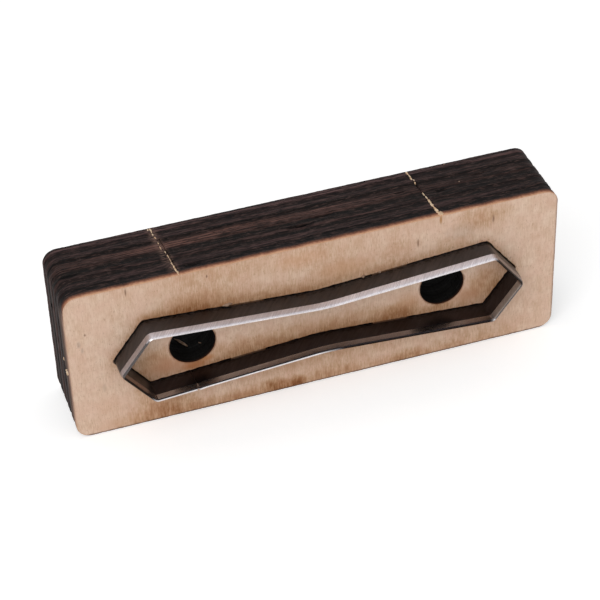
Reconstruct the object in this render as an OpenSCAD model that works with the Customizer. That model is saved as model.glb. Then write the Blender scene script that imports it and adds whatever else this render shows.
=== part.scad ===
// Steel rule die: a bent strip of bevelled steel rule pressed into the laser-cut kerf of a plywood die board.
// Millimetres, +Z up. The die stands on its long edge with the cutting edge facing -Y.

/* [Board] */
// Length of the board
board_w = 109; // [104:0.5:160]
// Height of the board as it stands
board_h = 37.2; // [30:0.1:60]
// Thickness of the board
board_t = 17.8; // [15:0.1:20]
// Radius of the board's four corners
board_corner_r = 3.2; // [2:0.1:8]
// Number of veneers in the board, an odd number
ply_count = 11; // [7:2:13]
// Depth to which the cross-grained veneers are burnt back at the sides
ply_recess = 0.12; // [0.05:0.01:0.3]

/* [Rule] */
// Height of the steel rule from its back to its cutting edge
rule_h = 23.8; // [21:0.1:26]
// Thickness of the steel rule
rule_t = 1.07; // [0.7:0.01:1.5]
// Included angle of the long centre bevel
bevel_angle = 24; // [20:1:40]
// Height of the honed facets at the cutting edge
facet_h = 0.45; // [0.2:0.05:0.45]
// Included angle of the honed facets
facet_angle = 58; // [44:1:62]
// Width of the flat that honing leaves on the cutting edge
edge_land = 0.06; // [0.02:0.01:0.1]

/* [Outline of the cut] */
// Distance from the middle of the die to each pointed end
tip_x = 44.5; // [42:0.1:48]
// Distance from the middle of the die to the corners behind each point
corner_x = 38; // [35:0.1:40]
// Half height of the outline at those corners
corner_v = 8.4; // [7:0.1:11]
// Half height at the pinched waist, where the two straight sides would meet
waist_v = 5.8; // [4:0.1:6.5]
// Bend radius at each pointed end, on the middle of the rule
tip_r = 0.9; // [0.8:0.1:2]
// Bend radius at the corners behind each point
corner_r = 1.2; // [0.8:0.1:2.5]
// Bend radius of the easy bend at the waist
waist_r = 50; // [30:1:100]
// Place along the die of the butt seam where the ends of the rule meet
seam_x = -28.8; // [-32:0.1:-25]
// Gap left between the ends of the rule at the seam
seam_gap = 0.08; // [0.04:0.01:0.3]

/* [Kerf and bridges] */
// Clearance between the rule and the kerf on each side
kerf_fit = 0.03; // [0.01:0.01:0.1]
// Distance from the middle of the die to each uncut bridge
bridge_x = 16; // [11:0.5:20]
// Length of each bridge of uncut wood
bridge_len = 8; // [4:0.5:10]
// Room at each end of a bridge inside the notch in the rule
notch_end_gap = 0.25; // [0.1:0.05:0.5]
// Room between the board's face and the top of the notch
notch_top_gap = 0.3; // [0.1:0.05:0.6]

/* [Push-out holes] */
// Distance from the middle of the die to each push-out hole
hole_x = 28; // [26:0.1:31]
// Radius of the push-out holes
hole_r = 5; // [3:0.1:6]

/* [Break-off tabs] */
// Place along the die of the left tab on the top side
tab_left_x = -30.3; // [-40:0.1:-20]
// Place along the die of the right tab on the top side
tab_right_x = 27; // [20:0.1:40]
// Lean of the torn tab lines on the top side, in degrees
tab_lean = 3.5; // [0:0.5:8]
// Height of the torn tab on the left end
tab_left_z = 16.5; // [10:0.1:26]
// Height of the torn tab on the right end
tab_right_z = 19.8; // [10:0.1:26]
// Width of a torn tab
tab_w = 0.5; // [0.3:0.05:1]
// How far a torn tab stands out of the cut side
tab_out = 0.3; // [0.1:0.05:0.5]
// Length of the torn tab that is left on the left end
tab_left_len = 3.5; // [2:0.5:8]
// Length of the torn tab that is left on the right end
tab_right_len = 2.5; // [2:0.5:8]
// Distance of the left end's torn tab behind the face
tab_left_behind = 3; // [1:0.5:6]
// Distance of the right end's torn tab behind the face
tab_right_behind = 1; // [0.5:0.5:6]

/* [Hidden] */

$fn = 96;
// Half thickness of the rule where its honed facets start
facet_half = edge_land / 2 + facet_h * tan(facet_angle / 2);
// Height of the bevel and the facet together on each side
bevel_h = facet_h + (rule_t / 2 - facet_half) / tan(bevel_angle / 2);
// Distance from the middle of the rule to the wall of its kerf
kerf_half = rule_t / 2 + kerf_fit;
ply_t = board_t / ply_count;
// How far a cutting solid runs past the faces that it cuts
past = 1;
// How deep a torn tab is rooted in the board
tab_root = 0.5;

// Corners of the rule's path, each with its bend radius, in the order in which the strip is bent from its seam
path = [
    [0, -waist_v, waist_r],
    [corner_x, -corner_v, corner_r],
    [tip_x, 0, tip_r],
    [corner_x, corner_v, corner_r],
    [0, waist_v, waist_r],
    [-corner_x, corner_v, corner_r],
    [-tip_x, 0, tip_r],
    [-corner_x, -corner_v, corner_r]
];
path_n = len(path);
// Facets in one bend
bend_steps = 10;

// Corner i, counted round the closed path
function corner(i) = path[(i + path_n) % path_n];
function place(i) = [corner(i).x, corner(i).y];
// Direction of the straight run that follows corner i, in degrees
function heading(i) = atan2(place(i + 1).y - place(i).y, place(i + 1).x - place(i).x);
function wrapped(a) = a > 180 ? a - 360 : a < -180 ? a + 360 : a;
// Angle bent at corner i, positive to the left
function turn(i) = wrapped(heading(i) - heading(i - 1));
function unit(a) = [cos(a), sin(a)];
// Distance from corner i to the start and the end of its bend
function tangent(i) = corner(i).z * tan(abs(turn(i)) / 2);
function bend_centre(i) =
    place(i) - tangent(i) * unit(heading(i - 1)) + corner(i).z * sign(turn(i)) * unit(heading(i - 1) + 90);

// A station is a point on the middle of the rule with the direction of the path there
function bend_stations(i) = [
    for (k = [0:bend_steps])
        let (a = heading(i - 1) + turn(i) * k / bend_steps)
        [bend_centre(i) - corner(i).z * sign(turn(i)) * unit(a + 90), a]
];
loop = [for (i = [0:path_n - 1]) each bend_stations(i)];

// Point of the lower left run at a given place along the die
seam_heading = heading(-1);
function on_seam_run(x) =
    place(-1) + (x - place(-1).x) / cos(seam_heading) * unit(seam_heading);
seam = on_seam_run(seam_x);
strip = concat(
    [[seam + seam_gap / 2 * unit(seam_heading), seam_heading]],
    loop,
    [[seam - seam_gap / 2 * unit(seam_heading), seam_heading]]
);

// Section of the rule, across its thickness and up from its back
rule_section = [
    [-rule_t / 2, 0],
    [rule_t / 2, 0],
    [rule_t / 2, rule_h - bevel_h],
    [facet_half, rule_h - facet_h],
    [edge_land / 2, rule_h],
    [-edge_land / 2, rule_h],
    [-facet_half, rule_h - facet_h],
    [-rule_t / 2, rule_h - bevel_h]
];

// Point at a distance across from a station, positive to the left of the path
function across(station, d) = station[0] + d * unit(station[1] + 90);

// Section points carried along the stations, closed by a cap at each end of the strip
module swept(stations, section) {
    n = len(stations);
    m = len(section);
    points = [
        for (s = stations)
            for (q = section)
                concat(across(s, -q.x), q.y)
    ];
    sides = [
        for (j = [0:n - 2])
            for (k = [0:m - 1])
                let (a = j * m + k, b = j * m + (k + 1) % m)
                each [[a, b, b + m], [a, b + m, a + m]]
    ];
    first_cap = [for (k = [m - 1:-1:0]) k];
    last_cap = [for (k = [0:m - 1]) (n - 1) * m + k];
    polyhedron(points, concat([first_cap, last_cap], sides));
}

// Drawn flat with the back down, then stood up with the cutting edge to -Y
module stood() {
    translate([0, rule_h / 2, board_h / 2]) rotate([90, 0, 0]) children();
}

// Children at the four bridges, turned along the rule
module at_bridges() {
    for (side_x = [-1, 1])
        for (side_v = [-1, 1]) {
            slope = (corner_v - waist_v) / corner_x;
            translate([side_x * bridge_x, side_v * (waist_v + slope * bridge_x)])
                rotate(side_x * side_v * atan(slope))
                    children();
        }
}

// A block across the rule at a bridge, from below the back to a height
module bridge_block(length, top) {
    across_w = 4 * kerf_half;
    translate([-length / 2, -across_w / 2, -past]) cube([length, across_w, top + past]);
}

// Board outline drawn in by a distance, with true arcs at its corners
module outline(inset, height) {
    w = board_w / 2 - board_corner_r;
    h = board_h / 2 - board_corner_r;
    r = board_corner_r - inset;
    translate([-w - r, -h, 0]) cube([2 * (w + r), 2 * h, height]);
    translate([-w, -h - r, 0]) cube([2 * w, 2 * (h + r), height]);
    for (x = [-w, w])
        for (y = [-h, h])
            translate([x, y, 0]) cylinder(r = r, h = height);
}

// The ring that the laser burns away from one cross-grained veneer
module burnt_ring() {
    difference() {
        translate([-board_w / 2 - past, -board_h / 2 - past, 0])
            cube([board_w + 2 * past, board_h + 2 * past, ply_t]);
        translate([0, 0, -past]) outline(ply_recess, ply_t + 2 * past);
    }
}

// The through kerf, left uncut at the bridges
module kerf() {
    n = len(loop);
    difference() {
        translate([0, 0, -past])
            linear_extrude(board_t + 2 * past)
                polygon(
                    concat([for (s = loop) across(s, -kerf_half)], [for (s = loop) across(s, kerf_half)]),
                    [[for (k = [0:n - 1]) k], [for (k = [0:n - 1]) n + k]]
                );
        at_bridges() bridge_block(bridge_len, board_t + 2 * past);
    }
}

// A torn tab along the board's depth, standing up from the side it is rooted in
module torn_tab(length) {
    rotate([90, 0, 90])
        translate([0, 0, -length / 2])
            linear_extrude(length)
                polygon([[-tab_w, -tab_root], [tab_w, -tab_root], [tab_w / 3, tab_out], [-tab_w / 3, tab_out]]);
}

// The torn tabs on the top side and on the two ends, trimmed flush with the board's faces
module torn_tabs() {
    intersection() {
        translate([-board_w, -board_h, 0]) cube([2 * board_w, 2 * board_h, board_t]);
        union() {
            for (x = [tab_left_x, tab_right_x])
                translate([x, board_h / 2, board_t / 2])
                    rotate([0, tab_lean, 0]) rotate([-90, 90, 0]) torn_tab(board_t + 2 * past);
            translate([-board_w / 2, tab_left_z - board_h / 2, board_t - tab_left_behind - tab_left_len / 2])
                rotate([0, -90, 0]) torn_tab(tab_left_len);
            translate([board_w / 2, tab_right_z - board_h / 2, board_t - tab_right_behind - tab_right_len / 2])
                rotate([0, 90, 0]) torn_tab(tab_right_len);
        }
    }
}

// Plywood board with its kerf, push-out holes, burnt-back veneers and torn tabs
module die_board() {
    color("burlywood") stood() {
        difference() {
            outline(0, board_t);
            for (k = [1:2:ply_count - 2])
                translate([0, 0, k * ply_t]) burnt_ring();
            kerf();
            for (x = [-hole_x, hole_x])
                translate([x, 0, -past]) cylinder(r = hole_r, h = board_t + 2 * past);
        }
        torn_tabs();
    }
}

// One strip of steel rule, bent to the outline and notched over the bridges
module cutting_rule() {
    color("dimgray") stood() difference() {
        swept(strip, rule_section);
        at_bridges() bridge_block(bridge_len + 2 * notch_end_gap, board_t + notch_top_gap);
    }
}

die_board();
cutting_rule();
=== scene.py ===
import math
import random
from collections import namedtuple
from functools import reduce
from itertools import groupby, pairwise

import bpy
import numpy as np
from mathutils import Matrix, Vector, noise
from mathutils.geometry import delaunay_2d_cdt


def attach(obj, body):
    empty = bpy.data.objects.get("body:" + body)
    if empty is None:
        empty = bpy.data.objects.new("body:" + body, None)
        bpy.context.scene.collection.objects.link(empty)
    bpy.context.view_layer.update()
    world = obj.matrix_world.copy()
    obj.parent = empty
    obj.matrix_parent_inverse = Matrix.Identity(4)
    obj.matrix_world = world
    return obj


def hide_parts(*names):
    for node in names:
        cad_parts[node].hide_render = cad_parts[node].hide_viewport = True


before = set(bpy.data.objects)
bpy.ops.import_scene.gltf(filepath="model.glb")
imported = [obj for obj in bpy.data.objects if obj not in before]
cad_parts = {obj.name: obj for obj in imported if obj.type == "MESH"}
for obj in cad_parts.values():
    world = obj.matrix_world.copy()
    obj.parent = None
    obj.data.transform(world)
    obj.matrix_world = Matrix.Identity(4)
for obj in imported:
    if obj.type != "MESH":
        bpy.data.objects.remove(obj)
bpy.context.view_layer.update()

# Sizes of the die in millimetres, as in the part's source
MM = 0.001
BOARD_W, BOARD_H, BOARD_T, BOARD_CORNER_R = 109.0, 37.2, 17.8, 3.2
PLY_COUNT, PLY_RECESS = 11, 0.12
RULE_H, RULE_T = 23.8, 1.07
BEVEL_ANGLE, FACET_H, FACET_ANGLE, EDGE_LAND = math.radians(24), 0.45, math.radians(58), 0.06
TIP_X, CORNER_X, CORNER_V, WAIST_V = 44.5, 38.0, 8.4, 5.8
TIP_R, CORNER_R, WAIST_R = 0.9, 1.2, 50.0
SEAM_X, SEAM_GAP = -28.8, 0.08
KERF_FIT, BRIDGE_X, BRIDGE_LEN = 0.03, 16.0, 8.0
NOTCH_END_GAP, NOTCH_TOP_GAP = 0.25, 0.3
HOLE_X, HOLE_R = 28.0, 5.0
TAB_LEFT_X, TAB_RIGHT_X, TAB_LEAN = -30.3, 27.0, math.radians(3.5)
TAB_LEFT_Z, TAB_RIGHT_Z = 16.5, 19.8

# Sizes that follow from them
HALF_W, HALF_H, RULE_HALF = BOARD_W / 2, BOARD_H / 2, RULE_T / 2
FACE_Y = RULE_H / 2 - BOARD_T
PLY_T = BOARD_T / PLY_COUNT
KERF_HALF = RULE_HALF + KERF_FIT
BRIDGE_HALF = BRIDGE_LEN / 2
NOTCH_HALF, NOTCH_TOP = BRIDGE_HALF + NOTCH_END_GAP, BOARD_T + NOTCH_TOP_GAP
TAB_LEFT_V, TAB_RIGHT_V = TAB_LEFT_Z - HALF_H, TAB_RIGHT_Z - HALF_H
SLOPE = (CORNER_V - WAIST_V) / CORNER_X
FACET_HALF = EDGE_LAND / 2 + FACET_H * math.tan(FACET_ANGLE / 2)
BEVEL_H = FACET_H + (RULE_HALF - FACET_HALF) / math.tan(BEVEL_ANGLE / 2)

# The facet as it is honed: slacker at its shoulder, blunter in the last part of its height
HONED_H, SHOULDER_ANGLE = 0.17, math.radians(44)
HONED_HALF = FACET_HALF - (FACET_H - HONED_H) * math.tan(SHOULDER_ANGLE / 2)

# Distances taken as none at all, and the least step between two points along a side or a run
CLOSE, LEAST_STEP = 1e-6, 0.2


def wave(x, y=0.0, z=0.0):
    """Smooth noise about zero, the same on every run."""
    return noise.noise(Vector((x, y, z)))


def tab_line(middle_x, depth):
    """Place along the die of a leaning tab line at a depth behind the face."""
    return middle_x + (BOARD_T / 2 - depth) * math.tan(TAB_LEAN)


# Pieces

class Shell:
    """One piece as it is put together, in die millimetres: along, up from the middle, behind the face."""

    def __init__(self):
        self.points, self.faces, self.finishes = [], [], []

    def add(self, points):
        """Takes points in and gives their numbers."""
        start = len(self.points)
        self.points.extend(tuple(p) for p in points)
        return list(range(start, len(self.points)))

    def face(self, corners, finish=0):
        self.faces.append(tuple(corners))
        self.finishes.append(finish)

    def band(self, ring, next_ring, finish=0):
        """Quads from one closed ring of points to the next."""
        for i in range(len(ring)):
            self.face((ring[i - 1], ring[i], next_ring[i], next_ring[i - 1]), finish)

    def piece(self, name, finishes, slot, crease, flat=()):
        """The finished object, smooth but for its creases and its flat finishes, riding on the die."""
        p = np.array(self.points)
        xyz = np.stack([p[:, 0], p[:, 2] + FACE_Y, p[:, 1] + HALF_H], 1) * MM
        mesh = bpy.data.meshes.new(name)
        mesh.from_pydata(xyz.tolist(), [], self.faces)
        for material in finishes:
            mesh.materials.append(material)
        mesh.polygons.foreach_set("material_index", self.finishes)
        mesh.polygons.foreach_set("use_smooth", [f not in flat for f in self.finishes])
        mesh.update()
        crease_edges(mesh, crease)
        obj = bpy.data.objects.new(name, mesh)
        bpy.context.scene.collection.objects.link(obj)
        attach(obj, "root")
        return obj


def crease_edges(mesh, degrees):
    """Marks sharp the edges that turn more than an angle or part two finishes."""
    def read(items, label, kind=int, width=1):
        values = np.zeros(len(items) * width, kind)
        items.foreach_get(label, values)
        return values

    normal = read(mesh.polygons, "normal", float, 3).reshape(-1, 3)
    finish = read(mesh.polygons, "material_index")
    face = np.repeat(np.arange(len(finish)), read(mesh.polygons, "loop_total"))
    edge = read(mesh.loops, "edge_index")
    first, last = np.full(len(mesh.edges), len(finish)), np.full(len(mesh.edges), -1)
    np.minimum.at(first, edge, face)
    np.maximum.at(last, edge, face)
    turn = (normal[first] * normal[last]).sum(1)
    sharp = (turn < math.cos(math.radians(degrees))) | (finish[first] != finish[last])
    mesh.edges.foreach_set("use_edge_sharp", sharp)


# Path of the rule

# Corners with their bend radii, counter-clockwise from the lower waist
PATH = [
    (0, -WAIST_V, WAIST_R), (CORNER_X, -CORNER_V, CORNER_R),
    (TIP_X, 0, TIP_R), (CORNER_X, CORNER_V, CORNER_R),
    (0, WAIST_V, WAIST_R), (-CORNER_X, CORNER_V, CORNER_R),
    (-TIP_X, 0, TIP_R), (-CORNER_X, -CORNER_V, CORNER_R),
]
BEND_STEPS, RUN_PITCH = 16, 0.6

# A point on the middle of the rule and the direction of the path there
Station = namedtuple("Station", "at angle")


def unit(angle):
    return np.array([math.cos(angle), math.sin(angle)])


def path_corner(i):
    x, v, r = PATH[i % len(PATH)]
    return np.array([x, v], float), r


def heading(i):
    """Direction of the straight run after corner i."""
    run = path_corner(i + 1)[0] - path_corner(i)[0]
    return math.atan2(run[1], run[0])


def bend(i):
    """Stations round corner i."""
    corner, r = path_corner(i)
    before = heading(i - 1)
    turn = (heading(i) - before + math.pi) % (2 * math.pi) - math.pi
    side = math.copysign(1, turn)
    centre = corner - r * math.tan(abs(turn) / 2) * unit(before) + r * side * unit(before + math.pi / 2)
    angles = [before + turn * k / BEND_STEPS for k in range(BEND_STEPS + 1)]
    return [Station(centre - r * side * unit(a + math.pi / 2), a) for a in angles]


def ahead(station, distance):
    return Station(station.at + distance * unit(station.angle), station.angle)


def across(station, distance):
    """Point beside a station, positive to the left of the path, towards the inside of the cut."""
    return station.at + distance * unit(station.angle + math.pi / 2)


def run_between(start, end, cuts):
    """Stations on a straight run between two others, with one at each cut along the die."""
    run = end.at - start.at
    length = float(np.linalg.norm(run))
    stops = {round(t, 5) for t in np.linspace(0, 1, max(2, int(length / RUN_PITCH)))[1:-1]}
    for x in cuts:
        t = (x - start.at[0]) / run[0]
        if 0 < t < 1:
            stops = {s for s in stops if abs(s - t) * length > LEAST_STEP} | {t}
    return [Station(start.at + run * t, start.angle) for t in sorted(stops)]


def reach(length):
    """How far along the die a length on the sloping runs goes."""
    return length / math.hypot(1, SLOPE)


def slope_cuts(half):
    """Places along the die at a half length from each bridge, measured along the sloping run."""
    return [side * BRIDGE_X + end * reach(half) for side in (-1, 1) for end in (-1, 1)]


def whole_path(cuts):
    """Stations once round the cut from the lower waist, with stops at the cuts."""
    stations = []
    for i in range(len(PATH)):
        round_corner = bend(i)
        stations += round_corner
        stations += run_between(round_corner[-1], bend(i + 1)[0], cuts)
    return stations


# Board

# Finishes of the board
FACE, SIDE, KERF = range(3)
BOARD_CREASE = 38

# Rows of points down one veneer, for a veneer of the thickness given after them
PLY_ROWS, PLY_ROWS_T = (0.0, 0.12, 0.34, 0.62, 1.0, 1.28, 1.5), 1.62

# Distance between points along the sides, closer by a torn tab, and points round a corner, a hole and a fleck
SIDE_PITCH, TAB_PITCH, TAB_ZONE = 0.44, 0.13, 1.5
CORNER_STEPS, HOLE_STEPS, FLECK_STEPS = 18, 88, 14

# Rings of points down the kerf: depth, how far it is widened, how far it is eaten away in places
LIP = 0.12
KERF_RINGS = [(0.0, LIP, 0.28), (2.5 * LIP, 0.0, 0.0), (BOARD_T - LIP / 2, 0.0, 0.0), (BOARD_T, LIP / 2, 0.1)]

# Ripples burnt into the sides: depth, size along and behind the face, start of the noise along and behind
CROSS_FIBRES, LONG_FIBRES = (0.07, 0.9, 2.6, 0, 9), (0.06, 4.0, 0.3, 0, 0)
CUT_MARKS, SLOW_WAVES, PITS = (0.05, 0.8, 14.0, 40, 0), (0.05, 11.0, 0.9, 0, 70), (0.16, 2.6, 0.55, 0, 30)
PIT_LEVEL = 0.2

# How far glue lines and the faces' rims are burnt back, how ragged the rims are, where the top side begins
GLUE_RECESS, RIM_BURN, RIM_RAGGED, TOP_SIDE_V = 0.7 * PLY_RECESS, 0.06, 0.08, HALF_H - 0.5

# Burning of the holes: least, ragged part, what cross veneers add, then least and ragged part at the rims
HOLE_BURN, HOLE_RAGGED, HOLE_CROSS = 0.02, 0.06, 0.05
HOLE_RIM_BURN, HOLE_RIM_RAGGED = 0.04, 0.08

# Burnt-out voids in the sides: place along, up and behind the face, half length, half width, depth
VOIDS = [
    (-1.2, HALF_H, 7.2, 3.1, 0.42, 0.9), (-26.0, HALF_H, 2.7, 1.9, 0.5, 0.5),
    (31.0, HALF_H, 8.6, 1.6, 0.25, 0.4), (4.2, HALF_H, 9.2, 3.0, 0.3, 0.5),
    (-51.0, HALF_H, 7.6, 1.8, 0.5, 0.4), (40.5, HALF_H, 11.6, 2.2, 0.2, 0.3),
    (-41.0, HALF_H, 6.9, 1.5, 0.3, 0.35), (22.4, HALF_H, 11.0, 1.2, 0.3, 0.35),
    (-HALF_W, -2.4, 5.1, 0.8, 0.9, 0.8), (-HALF_W, 8.0, 12.8, 0.7, 0.4, 0.5),
    (HALF_W, -6.0, 8.6, 1.8, 0.3, 0.5), (HALF_W, 7.5, 5.2, 1.2, 0.25, 0.4),
    (-30.0, -HALF_H, 5.6, 1.9, 0.3, 0.5), (14.0, -HALF_H, 10.6, 2.4, 0.3, 0.6),
    (38.0, -HALF_H, 3.9, 1.3, 0.25, 0.4),
]

# Grooves torn by the top tabs: tab, place beside its line, half width, start and end behind the face
GROOVES, GROOVE_DEPTH = [(TAB_LEFT_X, 0.42, 0.2, 2.6, 13.4), (TAB_RIGHT_X, 0.0, 0.3, 8.6, 13.6)], 0.4

# Short bark flecks in the face: place along, up, half length, half width, depth
FLECKS = [
    (-41.1, 17.2, 1.1, 0.15, 0.08), (-23.9, 16.6, 0.45, 0.16, 0.08), (22.5, 12.7, 1.25, 0.16, 0.08),
    (-50.4, 8.6, 0.4, 0.18, 0.06), (39.6, 14.6, 1.2, 0.2, 0.07),
]


def outline():
    """Points round the board's outline, counter-clockwise from the face, each with its outward direction."""
    w, h = HALF_W - BOARD_CORNER_R, HALF_H - BOARD_CORNER_R
    found = []

    def straight(a, b, place_at, tabs=()):
        step = math.copysign(1, b - a)
        s = a
        while (b - s) * step > LEAST_STEP:
            found.append(place_at(s))
            by_tab = any(abs(s - t) < TAB_ZONE for t in tabs)
            s += step * (TAB_PITCH if by_tab else SIDE_PITCH)

    def arc(x, v, start):
        for k in range(CORNER_STEPS):
            c, s = unit(math.radians(start + 90 * k / CORNER_STEPS))
            found.append((x + BOARD_CORNER_R * c, v + BOARD_CORNER_R * s, c, s))

    straight(-w, w, lambda s: (s, -HALF_H, 0, -1))
    arc(w, -h, -90)
    straight(-h, h, lambda s: (HALF_W, s, 1, 0), (TAB_RIGHT_V,))
    arc(w, h, 0)
    straight(w, -w, lambda s: (s, HALF_H, 0, 1), (TAB_LEFT_X, TAB_RIGHT_X))
    arc(-w, h, 90)
    straight(h, -h, lambda s: (-HALF_W, s, -1, 0), (TAB_LEFT_V,))
    arc(-w, -h, 180)
    return found


def ply_rows():
    """Depths of the rows of points down the sides, each with its veneer and whether it is a glue line."""
    rows = [(k * PLY_T + r * PLY_T / PLY_ROWS_T, k, r == 0.0) for k in range(PLY_COUNT) for r in PLY_ROWS]
    return rows + [(BOARD_T, PLY_COUNT - 1, True)]


def side_relief(x, v, depth, ply, glue_line):
    """How far the laser has burnt a side in at a point: veneers, glue lines, fibres, cut marks, voids."""
    def ripple(along, behind, start_along, start_behind):
        return wave(x / along + start_along, v / along, depth / behind + start_behind)

    cross = ply % 2 == 1
    back = PLY_RECESS if cross else 0.0
    if glue_line:
        inner = 0 < depth < BOARD_T
        back = GLUE_RECESS if inner else RIM_BURN + RIM_RAGGED * abs(wave(x * 1.7, v * 1.7, depth))
    for deep, *sizes in (CROSS_FIBRES if cross else LONG_FIBRES, CUT_MARKS, SLOW_WAVES):
        back += deep * abs(ripple(*sizes))
    deep, *sizes = PITS
    back += deep * max(0.0, ripple(*sizes) - PIT_LEVEL)
    for void_x, void_v, void_d, long, wide, deep in VOIDS:
        off = (math.hypot(x - void_x, v - void_v) / long) ** 2 + ((depth - void_d) / wide) ** 2
        if off < 1:
            back += deep * math.sqrt(1 - off)
    if v > TOP_SIDE_V:
        for middle_x, beside, half, start, end in GROOVES:
            off = abs(x - tab_line(middle_x, depth) - beside) / half
            if off < 1 and start < depth < end:
                back += GROOVE_DEPTH * (1 - off)
    return back


def side_ring(points, depth, ply, glue_line):
    """One ring of points round the sides."""
    ring = []
    for x, v, out_x, out_v in points:
        back = side_relief(x, v, depth, ply, glue_line)
        ring.append((x - out_x * back, v - out_v * back, depth))
    return ring


def hole_ring(x, depth, ply):
    """One ring of points down a push-out hole, burnt wider in places and at its two rims."""
    at_rim = min(depth, BOARD_T - depth) < CLOSE
    ring = []
    for k in range(HOLE_STEPS):
        burn = HOLE_BURN + HOLE_RAGGED * abs(wave(k * 0.6, x, depth / 9)) + HOLE_CROSS * (ply % 2)
        if at_rim:
            burn = HOLE_RIM_BURN + HOLE_RIM_RAGGED * abs(wave(k * 0.4, x, depth))
        out = (HOLE_R + burn) * unit(2 * math.pi * k / HOLE_STEPS)
        ring.append((x + out[0], out[1], depth))
    return ring


def kerf_slots():
    """The four cut lengths of the kerf between the bridges, as lists of stations."""
    def in_bridge(station):
        return abs(abs(station.at[0]) - BRIDGE_X) < reach(BRIDGE_HALF) - CLOSE

    stations = whole_path(slope_cuts(BRIDGE_HALF))
    start = [in_bridge(s) for s in stations].index(True)
    runs = groupby(stations[start:] + stations[:start], in_bridge)
    return [list(run) for bridged, run in runs if not bridged]


def slot_ring(stations, depth, grow, ragged):
    """Outline of a slot at a depth, counter-clockwise from the face, grown and eaten away in places."""
    def wall(station, side):
        eaten = ragged * max(0.0, wave(*(station.at * 0.9), side * 7.0) + 0.15)
        return (*across(station, side * (KERF_HALF + grow + eaten)), depth)

    slot = [ahead(stations[0], -grow), *stations[1:-1], ahead(stations[-1], grow)]
    return [wall(s, -1) for s in slot] + [wall(s, 1) for s in reversed(slot)]


def fleck_rings(x, v, long, wide, deep):
    """Rim and bottom of one bark fleck, a narrow leaf along the grain."""
    rim = []
    for k in range(FLECK_STEPS):
        c, s = unit(2 * math.pi * k / FLECK_STEPS)
        ragged = 1 + 0.35 * wave(k * 0.9, x, v)
        rim.append((x + wide * ragged * c, v + long * s, 0.0))
    bottom = [(x + 0.2 * wide * wave(t, x), v + t * long, deep) for t in (-0.5, 0.0, 0.5)]
    return rim, bottom


def inside(points, loops):
    """Which points lie inside an odd number of the loops."""
    odd = np.zeros(len(points), bool)
    x, v = points[:, 0], points[:, 1]
    for loop in loops:
        for (ax, av), (bx, bv) in pairwise(loop + loop[:1]):
            if av != bv:
                odd ^= ((av > v) != (bv > v)) & (x < (bx - ax) * (v - av) / (bv - av) + ax)
    return odd


def cap(shell, loops, flip, flecks=()):
    """Fills a face of the board between its outline and its openings, given as lists of point numbers."""
    numbers, edges = [], []
    for loop in loops + [rim for rim, _ in flecks]:
        start = len(numbers)
        numbers += loop
        edges += [(start + i, start + (i + 1) % len(loop)) for i in range(len(loop))]
    for _, bottom in flecks:
        start = len(numbers)
        numbers += bottom
        edges += [(start + i, start + i + 1) for i in range(len(bottom) - 1)]
    flat = [Vector(shell.points[n][:2]) for n in numbers]
    places, _, faces, origin, _, _ = delaunay_2d_cdt(flat, edges, [], 0, 1e-7)
    to_point = [numbers[o[0]] for o in origin]
    middle = np.array([np.mean([places[i] for i in f], axis=0) for f in faces])
    keep = inside(middle, [[shell.points[n][:2] for n in loop] for loop in loops])
    for f, wanted in zip(faces, keep):
        if wanted:
            corners = [to_point[i] for i in f]
            shell.face(corners[::-1] if flip else corners, FACE)


def die_board(*finishes):
    """Board with its finishes: the two faces, the burnt sides, and the burnt kerf and holes."""
    shell = Shell()
    front, back = [], []

    def wall(rings, finish):
        numbers = [shell.add(ring) for ring in rings]
        for pair in pairwise(numbers):
            shell.band(*(pair[::-1] if finish == SIDE else pair), finish)
        front.append(numbers[0])
        back.append(numbers[-1])

    points, rows = outline(), ply_rows()
    wall([side_ring(points, *row) for row in rows], SIDE)
    for stations in kerf_slots():
        wall([slot_ring(stations, *ring) for ring in KERF_RINGS], KERF)
    for x in (-HOLE_X, HOLE_X):
        wall([hole_ring(x, depth, ply) for depth, ply, _ in rows], KERF)
    flecks = [[shell.add(ring) for ring in fleck_rings(*fleck)] for fleck in FLECKS]
    cap(shell, front, False, flecks)
    cap(shell, back, True)
    board = shell.piece("plywood_die_board", finishes, "plywood", BOARD_CREASE, flat=(FACE,))
    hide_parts("die_board")


# Torn tabs and loose chips

UP, LEFT, RIGHT, FORWARD = (0, 1, 0), (-1, 0, 0), (1, 0, 0), (0, 0, -1)
FIBRE_CREASE = 50

# Where fibres are seated in the burnt top side and in the two ends
TOP_SEAT, END_SEAT = HALF_H - 0.14, HALF_W - 0.15

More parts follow.
